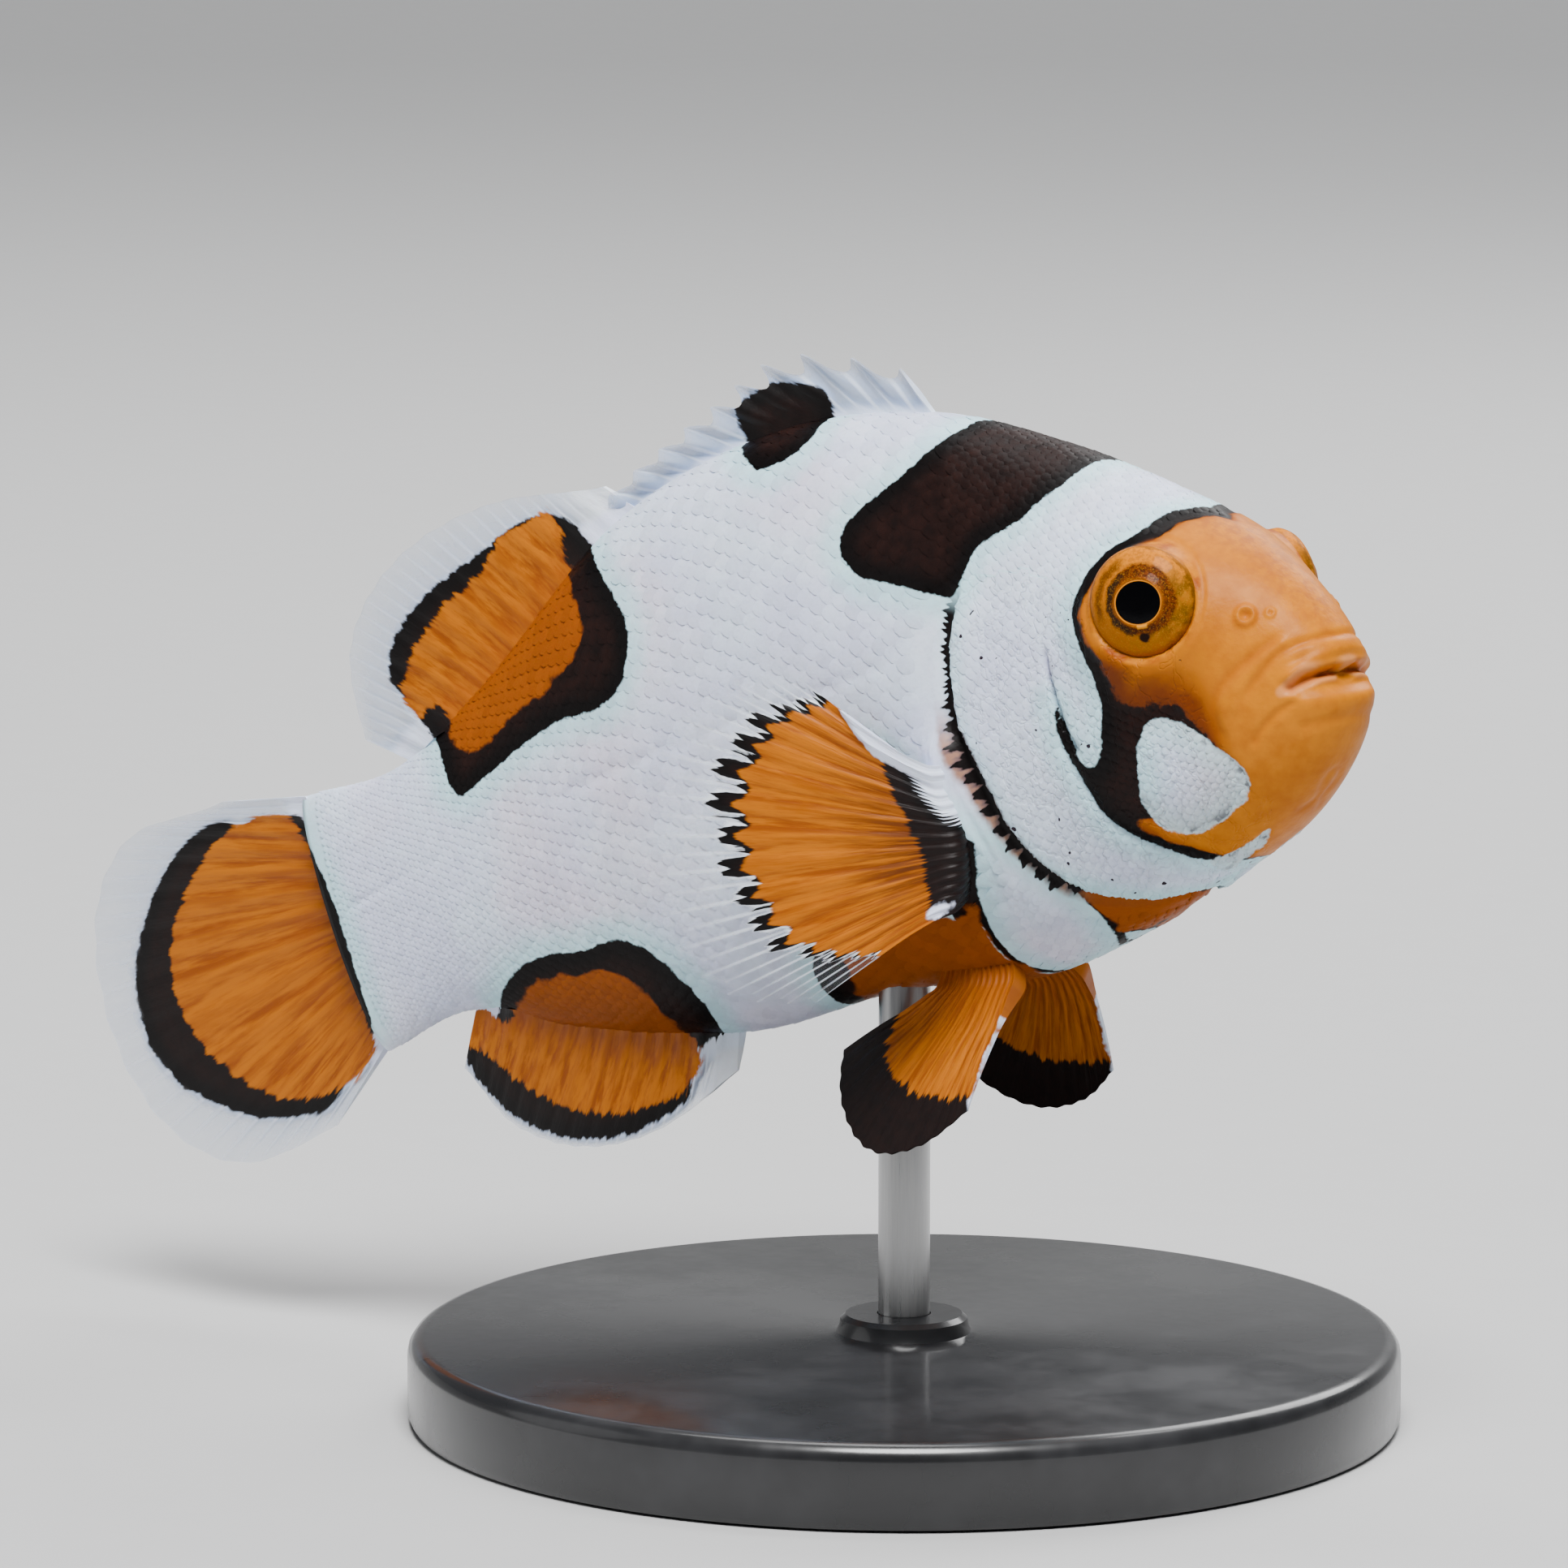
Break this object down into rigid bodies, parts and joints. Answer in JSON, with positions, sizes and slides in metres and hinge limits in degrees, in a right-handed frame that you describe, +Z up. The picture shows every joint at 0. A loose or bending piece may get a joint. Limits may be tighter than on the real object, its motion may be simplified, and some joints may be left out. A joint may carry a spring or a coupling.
{
  "type": "clownfish display model",
  "caption": "Still life-size clownfish with white, orange and black markings, bent in a swimming curve and held by a rod on a round base.",
  "frame": {"origin": "centre of the stand's flat underside, below the rod that holds the fish", "axes": "+X the way the head looks, +Z up, +Y to the fish's left; the stand's underside is Z = 0"},
  "size_m": [0.074, 0.046, 0.0492],
  "materials": {
    "skin": "wet scaled fish skin, white with orange and black patches",
    "fin": "orange fin web over rays, black border and clear margin",
    "fin_clear": "translucent white fin web with spines",
    "eye": "glossy amber iris round a black pupil",
    "stand_lacquer": "black satin lacquer",
    "stand_steel": "brushed"
  },
  "bodies": {
    "root": {"head": "skin", "lower_jaw": "skin", "gill_cover_right": "skin", "gill_cover_left": "skin", "trunk": "skin", "tail_stalk": "skin", "eye_right": "eye", "eye_left": "eye", "dorsal_fin_spiny": "fin_clear", "dorsal_fin_soft": "fin", "anal_fin": "fin", "tail_fin": "fin", "pectoral_fin_right": "fin", "pectoral_fin_left": "fin", "pelvic_fin_right": "fin", "pelvic_fin_left": "fin", "stand_base": "stand_lacquer", "stand_rod": "stand_steel"}
  },
  "joints": []
}
